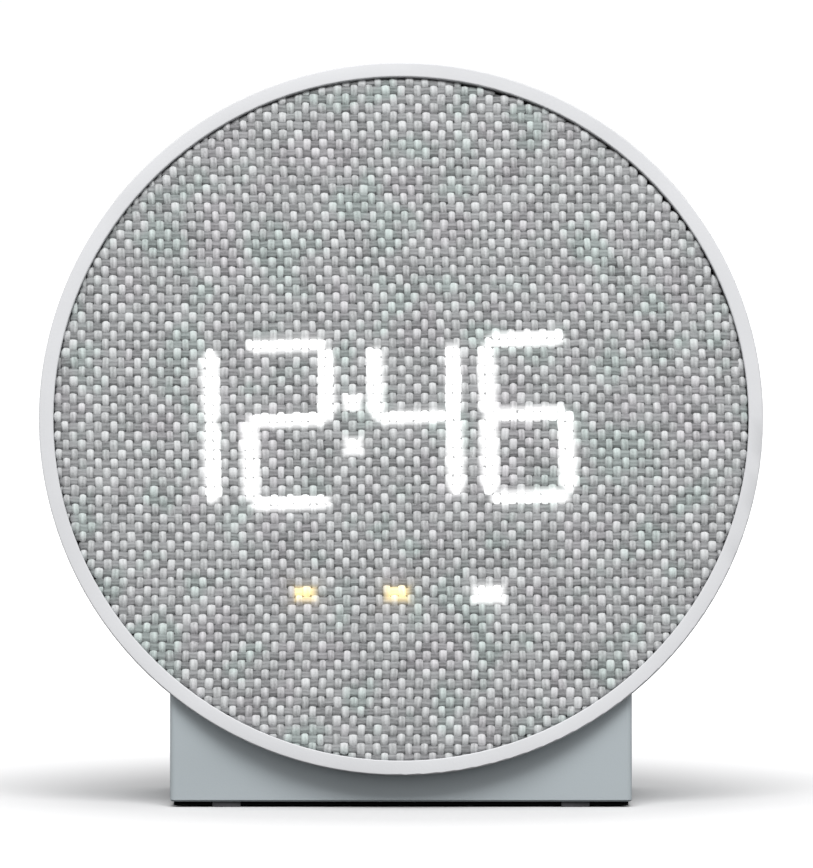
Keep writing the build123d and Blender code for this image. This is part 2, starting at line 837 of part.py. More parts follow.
with BuildPart() as key_ribbon:
    with BuildSketch(side.offset(8)):
        with BuildLine():
            FilletPolyline(*key_ribbon_route, radius=0.4)
        trace(line_width=ribbon_thickness)
    extrude(amount=ribbon_width / 2, both=True)
save(key_ribbon, "key_ribbon")

lead_start = face.origin + face.y_dir * lead_place[1] - face.z_dir * 17.1
lead_mid = face.origin + face.y_dir * 20.0 - face.z_dir * 29.5
lead_low = face.origin + face.y_dir * 2.6 - face.z_dir * 30.2
lead_end = face.origin + face.y_dir * 2.0 - face.z_dir * 32.1
with BuildPart() as speaker_lead:
    with BuildLine():
        lead_straight = Line(lead_start, lead_start - face.z_dir * 10.2)
        Spline(
            lead_straight @ 1,
            lead_mid,
            lead_low,
            lead_end,
            tangents=(-face.z_dir, -face.z_dir),
        )
    with BuildSketch(Plane(origin=lead_start, z_dir=-face.z_dir)):
        Circle(0.8)
    sweep()
save(speaker_lead, "speaker_lead")

# ---- controls on the top: board, switches, buttons and microphones --------------------------------
with BuildPart() as key_board:
    with BuildSketch(top.offset(key_board_top)):
        RectangleRounded(54, 10, 1)
        with Locations(*key_screw_places):
            Circle(pass_radius * small, mode=Mode.SUBTRACT)
    extrude(amount=-key_board_thickness)
save(key_board, "key_board")

key_screw_seat = top.offset(key_board_top - key_board_thickness)
key_board_screws = screws(key_screw_places, key_screw_seat, 4.0, small, up=True)
save(key_board_screws, "key_board_screws")

key_places = [(-round_button_x, 0), (0, 0), (round_button_x, 0)]
switch_top = -8.4
with BuildPart() as key_switches:
    with BuildSketch(top.offset(key_board_top)):
        with Locations(*key_places):
            Rectangle(6, 6)
    extrude(amount=switch_top - key_board_top)
    with BuildSketch(top.offset(switch_top)):
        with Locations(*key_places):
            Circle(stem_radius + 0.05)
    extrude(amount=-1.2, mode=Mode.SUBTRACT)
save(key_switches, "key_switches")

button_top = drum_body(grow=0.5)
lip_top = drum_body(grow=-shell_wall - 0.4)
key_outlines = {
    "volume_down_button": (-round_button_x, 2 * round_button_radius, 2 * round_button_radius),
    "action_button": (0, action_length, action_width),
    "volume_up_button": (round_button_x, 2 * round_button_radius, 2 * round_button_radius),
}
for key_name, (key_x, key_length, key_width) in key_outlines.items():
    with BuildPart() as key:
        with BuildSketch(top.offset(button_bottom)):
            with Locations((key_x, 0)):
                RectangleRounded(key_length, key_width, key_width / 2 - 0.001)
        extrude(amount=12)
        add(button_top, mode=Mode.INTERSECT)
    with BuildPart() as key_lip:
        with BuildSketch(top.offset(button_bottom)):
            with Locations((key_x, 0)):
                RectangleRounded(
                    key_length + 2 * button_lip,
                    key_width + 2 * button_lip,
                    key_width / 2 + button_lip - 0.001,
                )
        extrude(amount=12)
        add(lip_top, mode=Mode.INTERSECT)
        add(key.part)
        with BuildSketch(top.offset(stem_tip)):
            with Locations((key_x, 0)):
                Circle(stem_radius)
        extrude(amount=2)
    save(key_lip, key_name)

with BuildPart() as microphones:
    with BuildSketch(top.offset(key_board_top)):
        with Locations(*microphone_places):
            Rectangle(3.4, 3.8)
    extrude(amount=1.0)
save(microphones, "microphones")

with BuildPart() as microphone_boots:
    with BuildSketch(top.offset(key_board_top + 1.0)):
        with Locations(*microphone_places):
            Circle(1.7)
            Circle(microphone_port, mode=Mode.SUBTRACT)
    extrude(amount=8)
    add(shell_cavity.part, mode=Mode.INTERSECT)
save(microphone_boots, "microphone_boots")

# ---- stand: a hollow block with a cradle, a bottom plate, ballast and feet ------------------------
plate_inset = 0.65
plate_bottom = 0.35
lip_top_z = 2.6
plate_screw_seat = 1.5
plate_boss_top = 2.7
foot_width, foot_depth = 5.0, 9.0
foot_places = [
    (x, y)
    for x in (-31.2, 31.2)
    for y in (stand_front + plate_inset + foot_depth / 2, stand_back - plate_inset - foot_depth / 2)
]
stand_place = (0, stand_middle)
stand_corner = 1.1
hollow_width = stand_width - 2 * stand_wall
hollow_depth = stand_depth - 2 * stand_wall
hollow_top = stand_top - stand_wall

with BuildPart() as stand_hollow:
    with BuildSketch(Plane.XY.offset(stand_bottom - 1)):
        with Locations(stand_place):
            RectangleRounded(hollow_width, hollow_depth, 1.0)
    extrude(amount=hollow_top - stand_bottom + 1)
    add(drum_body(grow=stand_gap + stand_wall), mode=Mode.SUBTRACT)
    with BuildSketch(Plane.XY.offset(stand_screw_seat)):
        with Locations(*stand_screw_places):
            Circle(3.6)
    extrude(amount=6, mode=Mode.SUBTRACT)
    with BuildSketch(Plane.XY.offset(plate_boss_top)):
        with Locations(*plate_screw_places):
            Circle(3.0)
    extrude(amount=stand_top, mode=Mode.SUBTRACT)

with BuildPart() as stand_body:
    with BuildSketch(Plane.XY.offset(stand_bottom)):
        with Locations(stand_place):
            RectangleRounded(stand_width, stand_depth, stand_corner)
    extrude(amount=stand_top - stand_bottom)
    chamfer(stand_body.faces().sort_by(Axis.Z)[0].edges(), 0.3)
    fillet(stand_body.faces().sort_by(Axis.Z)[-1].edges(), 0.7)
    add(drum_body(grow=stand_gap), mode=Mode.SUBTRACT)
    add(stand_hollow.part, mode=Mode.SUBTRACT)
    with BuildSketch(Plane.XY.offset(stand_screw_seat - 1)):
        with Locations(*stand_screw_places):
            Circle(pass_radius)
    extrude(amount=8, mode=Mode.SUBTRACT)
    with BuildSketch(Plane.XY.offset(plate_boss_top)):
        with Locations(*plate_screw_places):
            Circle(pilot_radius * small)
    extrude(amount=7, mode=Mode.SUBTRACT)
save(stand_body, "stand_body")

with BuildPart() as stand_plate:
    with BuildSketch(Plane.XY.offset(plate_bottom)):
        with Locations(stand_place):
            RectangleRounded(stand_width - 2 * plate_inset, stand_depth - 2 * plate_inset, 0.7)
    extrude(amount=stand_bottom - plate_bottom)
    with BuildSketch(Plane.XY.offset(plate_bottom)):
        with Locations(stand_place):
            RectangleRounded(hollow_width - 0.3, hollow_depth - 0.3, 0.85)
            RectangleRounded(hollow_width - 2.7, hollow_depth - 2.7, 0.5, mode=Mode.SUBTRACT)
        with Locations(*plate_screw_places):
            Circle(2.9)
    extrude(amount=lip_top_z - plate_bottom)
    with BuildSketch(Plane.XY.offset(plate_bottom)):
        with Locations(*plate_screw_places):
            Circle(head_radius * small + 0.2)
    extrude(amount=plate_screw_seat - plate_bottom, mode=Mode.SUBTRACT)
    with BuildSketch(Plane.XY):
        with Locations(*plate_screw_places):
            Circle(pass_radius * small)
    extrude(amount=4, mode=Mode.SUBTRACT)
    with BuildSketch(Plane.XY):
        with Locations(*foot_places):
            Rectangle(foot_width + 0.1, foot_depth + 0.1)
    extrude(amount=stand_bottom, mode=Mode.SUBTRACT)
save(stand_plate, "stand_plate")

with BuildPart() as feet:
    with BuildSketch(Plane.XY):
        with Locations(*foot_places):
            Rectangle(foot_width, foot_depth)
    extrude(amount=stand_bottom)
save(feet, "feet")

plate_screws = screws(plate_screw_places, Plane.XY.offset(plate_screw_seat), 6.5, small, up=True)
save(plate_screws, "stand_plate_screws")

stand_screws = screws(stand_screw_places, Plane.XY.offset(stand_screw_seat), 9.0, up=True)
save(stand_screws, "stand_screws")

ballast_inner, ballast_outer = 27.0, 37.2
with BuildPart() as ballast_weights:
    with BuildSketch(Plane.XY.offset(stand_bottom)):
        with Locations((-(ballast_inner + ballast_outer) / 2, stand_middle)):
            RectangleRounded(ballast_outer - ballast_inner, 19, 0.5)
        with Locations(((ballast_inner + ballast_outer) / 2, stand_middle)):
            RectangleRounded(ballast_outer - ballast_inner, 19, 0.5)
    extrude(amount=14)
    add(drum_body(grow=stand_gap + stand_wall + 0.4), mode=Mode.SUBTRACT)
save(ballast_weights, "ballast_weights")
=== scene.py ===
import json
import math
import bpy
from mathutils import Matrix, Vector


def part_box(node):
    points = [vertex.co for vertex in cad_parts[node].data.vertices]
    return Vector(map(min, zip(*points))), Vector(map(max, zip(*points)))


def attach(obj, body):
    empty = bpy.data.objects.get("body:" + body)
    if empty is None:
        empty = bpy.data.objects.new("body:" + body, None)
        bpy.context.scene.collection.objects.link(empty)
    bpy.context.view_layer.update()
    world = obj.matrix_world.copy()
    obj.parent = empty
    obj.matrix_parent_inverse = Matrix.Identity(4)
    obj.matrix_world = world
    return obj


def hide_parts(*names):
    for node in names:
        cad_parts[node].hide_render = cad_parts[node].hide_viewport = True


bl_info = {
    "name": "Woven-front clock speaker",
    "version": (1, 0, 0),
    "blender": (4, 5, 0),
    "location": "View3D > Sidebar > Speaker",
    "description": "Builds the cloth, marks, finishes and studio of a round clock speaker",
    "category": "Add Mesh",
}

import bmesh
import bpy
import numpy as np
from bpy.props import FloatProperty, FloatVectorProperty, IntProperty, PointerProperty
from mathutils import Matrix, Vector

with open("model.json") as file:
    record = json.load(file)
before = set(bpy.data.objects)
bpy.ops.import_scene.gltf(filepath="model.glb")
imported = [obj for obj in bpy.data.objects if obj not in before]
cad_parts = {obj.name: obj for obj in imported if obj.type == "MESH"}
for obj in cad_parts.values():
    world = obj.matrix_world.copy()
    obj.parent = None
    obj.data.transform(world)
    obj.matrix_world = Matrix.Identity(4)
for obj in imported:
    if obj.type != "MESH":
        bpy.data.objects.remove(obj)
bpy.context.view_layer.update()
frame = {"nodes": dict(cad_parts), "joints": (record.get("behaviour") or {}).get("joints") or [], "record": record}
nodes = frame["nodes"]

MM = 0.001
CLOTH_THICKNESS = 0.3 * MM
CLOTH_OVERHANG = 0.15 * MM  # how far the yarns stand out past the CAD's cloth
WELD_DISTANCE = 0.002 * MM
SMOOTH_BELOW = math.radians(24)


# ---- the face's own frame, read from the CAD nodes -----------------------------------------------
def points_of(node):
    """A CAD node's vertices as an array."""
    mesh = nodes[node].data
    flat = np.zeros(len(mesh.vertices) * 3)
    mesh.vertices.foreach_get("co", flat)
    return flat.reshape(-1, 3)


def span_along(node, direction):
    """The lowest and highest reach of a CAD node along a direction."""
    reach = points_of(node) @ np.array(direction)
    return float(reach.min()), float(reach.max())


def joint_axis(name):
    """The axis of a joint in the record."""
    return Vector(next(j for j in frame["joints"] if j["name"] == name)["axis"]).normalized()


ACROSS = Vector((1, 0, 0))
FORWARD = joint_axis("cone_travel")
UPWARD = FORWARD.cross(ACROSS)
cloth_low, cloth_high = span_along("grille_cloth", UPWARD)
CLOTH_RADIUS = (cloth_high - cloth_low) / 2 + CLOTH_OVERHANG
FACE_FRONT = span_along("drum_shell", FORWARD)[1]
CLOTH_FRONT = span_along("grille_cloth", FORWARD)[1]
FACE_CENTRE = UPWARD * (cloth_low + cloth_high) / 2 + FORWARD * FACE_FRONT
CLOTH_DEPTH = FACE_FRONT - CLOTH_FRONT
FACE_MATRIX = Matrix.Translation(FACE_CENTRE) @ Matrix(
    (
        (ACROSS.x, UPWARD.x, FORWARD.x, 0),
        (ACROSS.y, UPWARD.y, FORWARD.y, 0),
        (ACROSS.z, UPWARD.z, FORWARD.z, 0),
        (0, 0, 0, 1),
    )
)


# ---- settings ------------------------------------------------------------------------------------
class ClothSettings(bpy.types.PropertyGroup):
    """Sizes and colours of the woven front."""

    warp_pitch: FloatProperty(
        name="Warp pitch", description="Distance between upright yarns", default=1.43 * MM, unit="LENGTH"
    )
    weft_pitch: FloatProperty(
        name="Weft pitch", description="Distance between level yarns", default=1.67 * MM, unit="LENGTH"
    )
    warp_width: FloatProperty(
        name="Warp width", description="Width of an upright yarn", default=1.46 * MM, unit="LENGTH"
    )
    weft_width: FloatProperty(
        name="Weft width", description="Width of a level yarn", default=1.62 * MM, unit="LENGTH"
    )
    arch: FloatProperty(
        name="Arch", description="How far a yarn rises over its neighbour", default=0.26 * MM, unit="LENGTH"
    )
    edge_round: FloatProperty(
        name="Edge round", description="Radius of the cloth's turn", default=0.55 * MM, unit="LENGTH"
    )
    seed: IntProperty(name="Seed", description="Seed of the yarns' unevenness", default=7)
    warp_colour: FloatVectorProperty(
        name="Warp colour", description="Upright yarn", subtype="COLOR", default=(0.51, 0.52, 0.525)
    )
    weft_colour: FloatVectorProperty(
        name="Weft colour", description="Level yarn", subtype="COLOR", default=(0.28, 0.285, 0.29)
    )
    backing_colour: FloatVectorProperty(
        name="Backing colour",
        description="Dark mesh under the weave",
        subtype="COLOR",
        default=(0.10, 0.103, 0.106),
    )


class DisplaySettings(bpy.types.PropertyGroup):
    """Sizes of the lit digits that show through the weave."""

    roll: FloatProperty(
        name="Roll", description="Turn of the display", default=math.radians(1.5), unit="ROTATION"
    )
    stroke: FloatProperty(
        name="Stroke", description="Width of an upright stroke", default=2.9 * MM, unit="LENGTH"
    )
    half_width: FloatProperty(
        name="Half width",
        description="Middle of a digit to its upright strokes",
        default=7.0 * MM,
        unit="LENGTH",
    )
    bar_top: FloatProperty(
        name="Top bar", description="Height of a digit's top bar", default=13.65 * MM, unit="LENGTH"
    )
    bar_bottom: FloatProperty(
        name="Bottom bar", description="Height of a digit's bottom bar", default=-15.1 * MM, unit="LENGTH"
    )
    lit_colour: FloatVectorProperty(
        name="Lit colour", description="Colour of the digits", subtype="COLOR", default=(1.0, 1.0, 1.0)
    )
    amber_colour: FloatVectorProperty(
        name="Amber colour",
        description="Colour of the small lights",
        subtype="COLOR",
        default=(1.0, 0.74, 0.26),
    )


class FinishSettings(bpy.types.PropertyGroup):
    """Colours of the mouldings."""

    shell: FloatVectorProperty(
        name="Shell", description="Drum moulding", subtype="COLOR", default=(0.585, 0.59, 0.605)
    )
    # partly painted shade: the stand's own blue-grey is set darker than the shell to stand in for the shade under
    # the drum
    stand: FloatVectorProperty(
        name="Stand", description="Block stand moulding", subtype="COLOR", default=(0.43, 0.477, 0.50)
    )
    keys: FloatVectorProperty(
        name="Keys", description="Top keys", subtype="COLOR", default=(0.60, 0.61, 0.62)
    )
    # partly painted shade: real black plastic, set near zero so the base plate reads as the shadowed gap under the
    # stand
    black: FloatVectorProperty(
        name="Black",
        description="Base plate and inner mouldings",
        subtype="COLOR",
        default=(0.0015, 0.0015, 0.002),
    )
    ink: FloatVectorProperty(
        name="Ink", description="Marks on the keys", subtype="COLOR", default=(0.12, 0.125, 0.13)
    )
    mark_length: FloatProperty(
        name="Mark length", description="Length of the marks on the keys", default=2.6 * MM, unit="LENGTH"
    )
    mark_width: FloatProperty(
        name="Mark width", description="Width of the marks on the keys", default=0.5 * MM, unit="LENGTH"
    )
    feet: FloatVectorProperty(
        name="Feet", description="Rubber feet", subtype="COLOR", default=(0.06, 0.06, 0.065)
    )


class StudioSettings(bpy.types.PropertyGroup):
    """Camera and studio."""

    distance: FloatProperty(
        name="Camera distance", description="Camera to the middle of the ring", default=1.6, unit="LENGTH"
    )
    elevation: FloatProperty(
        name="Elevation", description="Camera's height angle", default=math.radians(1.7), unit="ROTATION"
    )
    view_height: FloatProperty(
        name="View height",
        description="Height that the picture takes in",
        default=155.8 * MM,
        unit="LENGTH",
    )
    aim_across: FloatProperty(
        name="Aim across", description="Middle of the picture, across", default=0.99 * MM, unit="LENGTH"
    )
    aim_height: FloatProperty(
        name="Aim height", description="Middle of the picture, height", default=66.49 * MM, unit="LENGTH"
    )
    floor_colour: FloatVectorProperty(
        name="Floor", description="Colour of the floor", subtype="COLOR", default=(0.64, 0.64, 0.645)
    )


# ---- small helpers for meshes ---------------------------------------------------------------------
def new_piece(name, mesh, body="housing"):
    """Makes an object from a mesh whose places are already in the row frame."""
    piece = bpy.data.objects.new(name, mesh)
    bpy.context.scene.collection.objects.link(piece)
    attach(piece, body)
    return piece


def grid_faces(rows, columns):
    """Faces of a grid of points, closed around its columns."""
    faces = []
    for row in range(rows - 1):
        for column in range(columns):
            here, there = row * columns, (row + 1) * columns
            after = (column + 1) % columns
            faces.append((here + column, here + after, there + after, there + column))
    return faces


def turned_points(profile, steps):
    """Points of a profile of (radius, depth) turned about the drum's axis, in the row frame."""
    made = []
    for radius, depth in profile:
        for step in range(steps):
            angle = 2 * math.pi * step / steps
            across, up = radius * math.sin(angle), radius * math.cos(angle)
            made.append(FACE_MATRIX @ Vector((across, up, -depth)))
    return made


def shade_smooth(mesh):
    """Sets every face of a mesh smooth."""
    mesh.polygons.foreach_set("use_smooth", [True] * len(mesh.polygons))


def face_coordinates(places):
    """Row-frame points as across, up and forward of the face."""
    back = np.array(FACE_MATRIX.inverted())
    return places @ back[:3, :3].T + back[:3, 3]


def from_face(places):
    """Face coordinates as row-frame points."""
    there = np.array(FACE_MATRIX)
    return places @ there[:3, :3].T + there[:3, 3]


# ---- small helpers for nodes ----------------------------------------------------------------------
def add_node(tree, kind, values=None, **settings):
    """Adds a node, sets its properties, and sets inputs by name or number."""
    node = tree.nodes.new(kind)
    for key, value in settings.items():
        setattr(node, key, value)
    for key, value in (values or {}).items():
        socket = node.inputs[key]
        if isinstance(value, bpy.types.NodeSocket):
            tree.links.new(value, socket)
        else:
            socket.default_value = value
    return node


def maths(tree, operation, *values):
    """A Math node's result."""
    return add_node(tree, "ShaderNodeMath", dict(enumerate(values)), operation=operation).outputs[0]


def product(tree, *values):
    """Two values multiplied."""
    return maths(tree, "MULTIPLY", *values)


def total(tree, *values):
    """Values added from left to right."""
    result = values[0]
    for value in values[1:]:
        result = maths(tree, "ADD", result, value)
    return result


def less(tree, *values):
    """The first value less the second."""
    return maths(tree, "SUBTRACT", *values)


def mixed(tree, factor, first, second):
    """Mixes two colours by a factor."""
    node = add_node(tree, "ShaderNodeMix", data_type="RGBA")
    for index, value in ((0, factor), (6, first), (7, second)):
        if isinstance(value, bpy.types.NodeSocket):
            tree.links.new(value, node.inputs[index])
        else:
            node.inputs[index].default_value = value
    return node.outputs[2]


def noise(tree, vector, scale, detail=3.0, roughness=0.55):
    """A noise's value on a vector."""
    values = {"Vector": vector, "Scale": scale, "Detail": detail, "Roughness": roughness}
    return add_node(tree, "ShaderNodeTexNoise", values).outputs["Fac"]


def ramp(tree, value, stops):
    """A colour ramp with stops of (place, grey or colour)."""
    node = add_node(tree, "ShaderNodeValToRGB", {"Fac": value})
    band = node.color_ramp
    while len(band.elements) < len(stops):
        band.elements.new(0.5)
    for element, (place, colour) in zip(band.elements, stops):
        element.position = place
        element.color = rgba(colour)
    return node.outputs["Color"]


def rgba(colour, gain=1.0):
    """A colour with alpha, from three numbers or one grey."""
    if isinstance(colour, (int, float)):
        colour = (colour, colour, colour)
    return (colour[0] * gain, colour[1] * gain, colour[2] * gain, 1.0)


def new_material(name, roughness=0.5, **plain):
    """A material with its Principled shader and the object's coordinates."""
    material = bpy.data.materials.new(name)
    material.use_nodes = True
    tree = material.node_tree
    shader = tree.nodes["Principled BSDF"]
    shader.inputs["Roughness"].default_value = roughness
    for key, value in plain.items():
        shader.inputs[key.replace("_", " ").title()].default_value = value
    place = add_node(tree, "ShaderNodeTexCoord").outputs["Object"]
    return material, tree, shader, place


def paint(tree, shader, value, low, high, colour, dark, bright):
    """Feeds a colour to the shader's base that runs from darker to brighter between two values."""
    stops = [(low, [c * dark for c in colour]), (high, [c * bright for c in colour])]
    tree.links.new(ramp(tree, value, stops), shader.inputs["Base Color"])


def set_gloss(tree, shader, value, low, high):
    """Feeds an uneven roughness to the shader, between stops of (place, roughness)."""
    tree.links.new(ramp(tree, value, [low, high]), shader.inputs["Roughness"])


def set_bump(tree, shader, height, strength, distance):
    """Feeds a height to the shader's normal."""
    values = {"Height": height, "Strength": strength, "Distance": distance}
    tree.links.new(add_node(tree, "ShaderNodeBump", values).outputs["Normal"], shader.inputs["Normal"])


def moulded_plastic(name, colour, roughness, grain=2600.0, spread=0.05, specular=0.4):
    """Fine spark-eroded moulding: a slight cloudiness, a fine grain and uneven gloss."""
    material, tree, shader, place = new_material(name, roughness)
    shader.inputs["Specular IOR Level"].default_value = specular
    cloud = noise(tree, place, 38.0, 2.0)
    paint(tree, shader, cloud, 0.3, 0.7, colour, 1 - spread, 1 + spread)
    uneven = noise(tree, place, 210.0, 3.0)
    set_gloss(tree, shader, uneven, (0.25, roughness - 0.05), (0.75, roughness + 0.06))
    set_bump(tree, shader, noise(tree, place, grain, 2.0, 0.6), 0.35, 0.04 * MM)
    return material


# ---- woven front ----------------------------------------------------------------------------------
LEAN = math.radians(0.7)
LEAN_GROWTH = math.radians(1.4)
DIGIT_CLIP = 0.7 * MM  # an upright stroke's end to the middle of the bar beyond it
DIGITS = ((-41.1 * MM, "bc"), (-20.2 * MM, "abged"), (2.6 * MM, "fgbc"), (22.7 * MM, "afgedc"))
COLON_ACROSS, COLON_UP, COLON_SIZE = -8.7 * MM, (2.95 * MM, -5.0 * MM), 2.9 * MM
INDICATORS = (
    (-17.25 * MM, -32.1 * MM, 3.6 * MM, 2.4 * MM),
    (-0.6 * MM, -32.1 * MM, 4.0 * MM, 2.4 * MM),
    (15.7 * MM, -32.1 * MM, 5.6 * MM, 3.1 * MM),
)
EDGE_SOFTNESS = 0.9 * MM
HALO_REACH = 0.9 * MM


def yarn_tree(name):
    """A tree that lays arched yarn floats over every other crossing of a round weave."""
    tree = bpy.data.node_groups.new(name, "GeometryNodeTree")
    tree.is_modifier = True
    for label, kind in (
        ("Pitch Across", "NodeSocketFloat"),
        ("Pitch Up", "NodeSocketFloat"),
        ("Float Width", "NodeSocketFloat"),
        ("Float Length", "NodeSocketFloat"),
        ("Arch", "NodeSocketFloat"),
        ("Crown", "NodeSocketFloat"),
        ("Turn", "NodeSocketFloat"),
        ("Radius", "NodeSocketFloat"),
        ("Parity", "NodeSocketInt"),
        ("Seed", "NodeSocketInt"),
        ("Material", "NodeSocketMaterial"),
    ):
        tree.interface.new_socket(label, in_out="INPUT", socket_type=kind)
    tree.interface.new_socket("Geometry", in_out="OUTPUT", socket_type="NodeSocketGeometry")
    given = tree.nodes.new("NodeGroupInput").outputs

    # the crossings: a grid of points, cut to the round
    spans = []
    for pitch in (given["Pitch Across"], given["Pitch Up"]):
        each_way = maths(tree, "CEIL", maths(tree, "DIVIDE", given["Radius"], pitch))
        count = total(tree, product(tree, each_way, 2.0), 1.0)
        spans.append((count, product(tree, less(tree, count, 1.0), pitch)))
    (columns, wide), (rows, tall) = spans
    sizes = {"Size X": wide, "Size Y": tall, "Vertices X": columns, "Vertices Y": rows}
    grid = add_node(tree, "GeometryNodeMeshGrid", sizes)
    index = add_node(tree, "GeometryNodeInputIndex").outputs[0]
    column = maths(tree, "FLOOR", maths(tree, "DIVIDE", total(tree, index, 0.5), rows))
    row = less(tree, index, product(tree, column, rows))
    parity = maths(tree, "FLOORED_MODULO", total(tree, column, row, given["Parity"]), 2.0)
    place = add_node(tree, "GeometryNodeInputPosition").outputs[0]
    reach = add_node(tree, "ShaderNodeVectorMath", {0: place}, operation="LENGTH").outputs["Value"]
    inside = maths(tree, "LESS_THAN", reach, given["Radius"])
    chosen = product(tree, maths(tree, "LESS_THAN", parity, 0.5), inside)
    crossings = grid.outputs["Mesh"]

    # one float: a small grid, narrowed at its ends, arched along and crowned across
    strip = add_node(
        tree,
        "GeometryNodeMeshGrid",
        {"Size X": given["Float Width"], "Size Y": given["Float Length"], "Vertices X": 5, "Vertices Y": 7},
    )
    across, along, _ = add_node(tree, "ShaderNodeSeparateXYZ", {0: place}).outputs
    side = maths(tree, "DIVIDE", across, product(tree, given["Float Width"], 0.5))
    end = maths(tree, "DIVIDE", along, product(tree, given["Float Length"], 0.5))
    end_square = product(tree, end, end)
    narrow = less(tree, 1.0, product(tree, product(tree, end_square, end_square), 0.45))
    rise = product(tree, given["Arch"], less(tree, 1.0, product(tree, end_square, 1.7)))
    crown = product(tree, given["Crown"], less(tree, 1.0, product(tree, side, side)))
    shaped = {0: product(tree, across, narrow), 1: along, 2: total(tree, rise, crown)}
    shaped = add_node(tree, "ShaderNodeCombineXYZ", shaped).outputs[0]
    moved = {"Geometry": strip.outputs["Mesh"], "Position": shaped}
    bent = add_node(tree, "GeometryNodeSetPosition", moved)
    fibres = add_node(
        tree,
        "GeometryNodeStoreNamedAttribute",
        {"Geometry": bent.outputs[0], "Name": "yarn_side", "Value": side},
        data_type="FLOAT",
        domain="POINT",
    )

    # each float is a little uneven in size, turn and tint
    def uneven(low, high, offset):
        """A random value for each float."""
        node = add_node(tree, "FunctionNodeRandomValue", data_type="FLOAT")
        node.inputs[2].default_value = low
        node.inputs[3].default_value = high
        tree.links.new(total(tree, given["Seed"], offset), node.inputs["Seed"])
        return node.outputs[1]

    shift = add_node(tree, "ShaderNodeCombineXYZ", {0: uneven(-1.0, 1.0, 6), 1: uneven(-1.0, 1.0, 7)})
    shift = {0: shift.outputs[0], "Scale": 0.11 * MM}
    shift = add_node(tree, "ShaderNodeVectorMath", shift, operation="SCALE").outputs[0]
    marked = {"Geometry": crossings, "Offset": shift}
    marked = add_node(tree, "GeometryNodeSetPosition", marked).outputs[0]
    centre = add_node(tree, "ShaderNodeSeparateXYZ", {0: place}).outputs
    for label, value in (
        ("tint", uneven(0.0, 1.0, 3)),
        ("centre_across", centre[0]),
        ("centre_up", centre[1]),
    ):
        marked = add_node(
            tree,
            "GeometryNodeStoreNamedAttribute",
            {"Geometry": marked, "Name": label, "Value": value},
            data_type="FLOAT",
            domain="POINT",
        ).outputs[0]
    turn = total(tree, given["Turn"], uneven(-0.09, 0.09, 1))
    turn = add_node(tree, "ShaderNodeCombineXYZ", {2: turn})
    size = {0: uneven(0.84, 1.1, 2), 1: uneven(0.9, 1.06, 4), 2: uneven(0.65, 1.15, 5)}
    size = add_node(tree, "ShaderNodeCombineXYZ", size)
    laid = add_node(
        tree,
        "GeometryNodeInstanceOnPoints",
        {
            "Points": marked,
            "Selection": chosen,
            "Instance": fibres.outputs[0],
            "Rotation": turn.outputs[0],
            "Scale": size.outputs[0],
        },
    )
    real = add_node(tree, "GeometryNodeRealizeInstances", {0: laid.outputs[0]})
    painted = {"Geometry": real.outputs[0], "Material": given["Material"]}
    painted = add_node(tree, "GeometryNodeSetMaterial", painted).outputs[0]
    tree.links.new(painted, tree.nodes.new("NodeGroupOutput").inputs[0])
    return tree


def run_tree(name, tree, inputs):
    """Runs a geometry tree on an empty mesh and gives the result as a plain mesh."""
    holder = bpy.data.objects.new(name + "_holder", bpy.data.meshes.new(name + "_holder"))
    bpy.context.scene.collection.objects.link(holder)
    modifier = holder.modifiers.new("make", "NODES")
    modifier.node_group = tree
    for item in tree.interface.items_tree:
        if item.in_out == "INPUT" and item.name in inputs:
            modifier[item.identifier] = inputs[item.name]
    bpy.context.view_layer.update()
    graph = bpy.context.evaluated_depsgraph_get()
    mesh = bpy.data.meshes.new_from_object(holder.evaluated_get(graph))
    mesh.name = name
    holder.modifiers.clear()
    bpy.data.objects.remove(holder)
    return mesh


def read_attribute(mesh, name):
    """A mesh's float attribute as an array."""
    values = np.zeros(len(mesh.vertices))
    mesh.attributes[name].data.foreach_get("value", values)
    return values


def write_attribute(mesh, name, values):
    """Stores an array as a mesh's float attribute."""
    made = mesh.attributes.get(name) or mesh.attributes.new(name, "FLOAT", "POINT")
    made.data.foreach_set("value", np.asarray(values, np.float32))


def pulled(across, up):
    """Where a crossing of the straight weave lies on the stretched cloth, which leans and wanders."""
    lean = -math.tan(LEAN) * up - math.tan(LEAN_GROWTH) * up * up / (2 * CLOTH_RADIUS)
    ripple = 0.16 * MM * np.sin(up / (9.0 * MM) + 1.7 * np.sin(across / (31 * MM)))
    bow = 0.22 * MM * np.sin(across / (17.0 * MM) + 0.8) * np.cos(up / (26.0 * MM))
    return across + lean + ripple, up + bow


def wrapped(places, edge_round):
    """Wraps face coordinates over the round edge of the frame: flat inside, then rolled to the rear."""
    across, up, height = places[:, 0], places[:, 1], places[:, 2]
    reach = np.hypot(across, up)
    flat_reach = CLOTH_RADIUS - edge_round
    past = np.maximum(reach - flat_reach, 0)
    angle = np.minimum(past / edge_round, math.pi / 2)
    straight = np.maximum(past - edge_round * math.pi / 2, 0)
    outer = edge_round + height
    new_reach = np.where(past > 0, flat_reach + outer * np.sin(angle), reach)
    new_height = np.where(past > 0, outer * np.cos(angle) - edge_round - straight, height)
    ratio = new_reach / np.maximum(reach, 1e-9)
    return np.stack([across * ratio, up * ratio, new_height], axis=1)


def lit_strokes(display):
    """Middles, lengths and directions of the strokes that show 12:46."""
    half, top, bottom = display.half_width, display.bar_top, display.bar_bottom
    high, low = top - DIGIT_CLIP, bottom + DIGIT_CLIP
    bars = {
        "a": (0, top, 2 * half, 0),
        "b": (half, high / 2, high, 1),
        "c": (half, low / 2, -low, 1),
        "d": (0, bottom, 2 * half, 0),
        "e": (-half, low / 2, -low, 1),
        "f": (-half, high / 2, high, 1),
        "g": (0, 0, 2 * half, 0),
    }
    strokes = []
    for middle, letters in DIGITS:
        for letter in letters:
            across, up, length, upright = bars[letter]
            strokes.append((middle + across, up, length, upright))
    return strokes


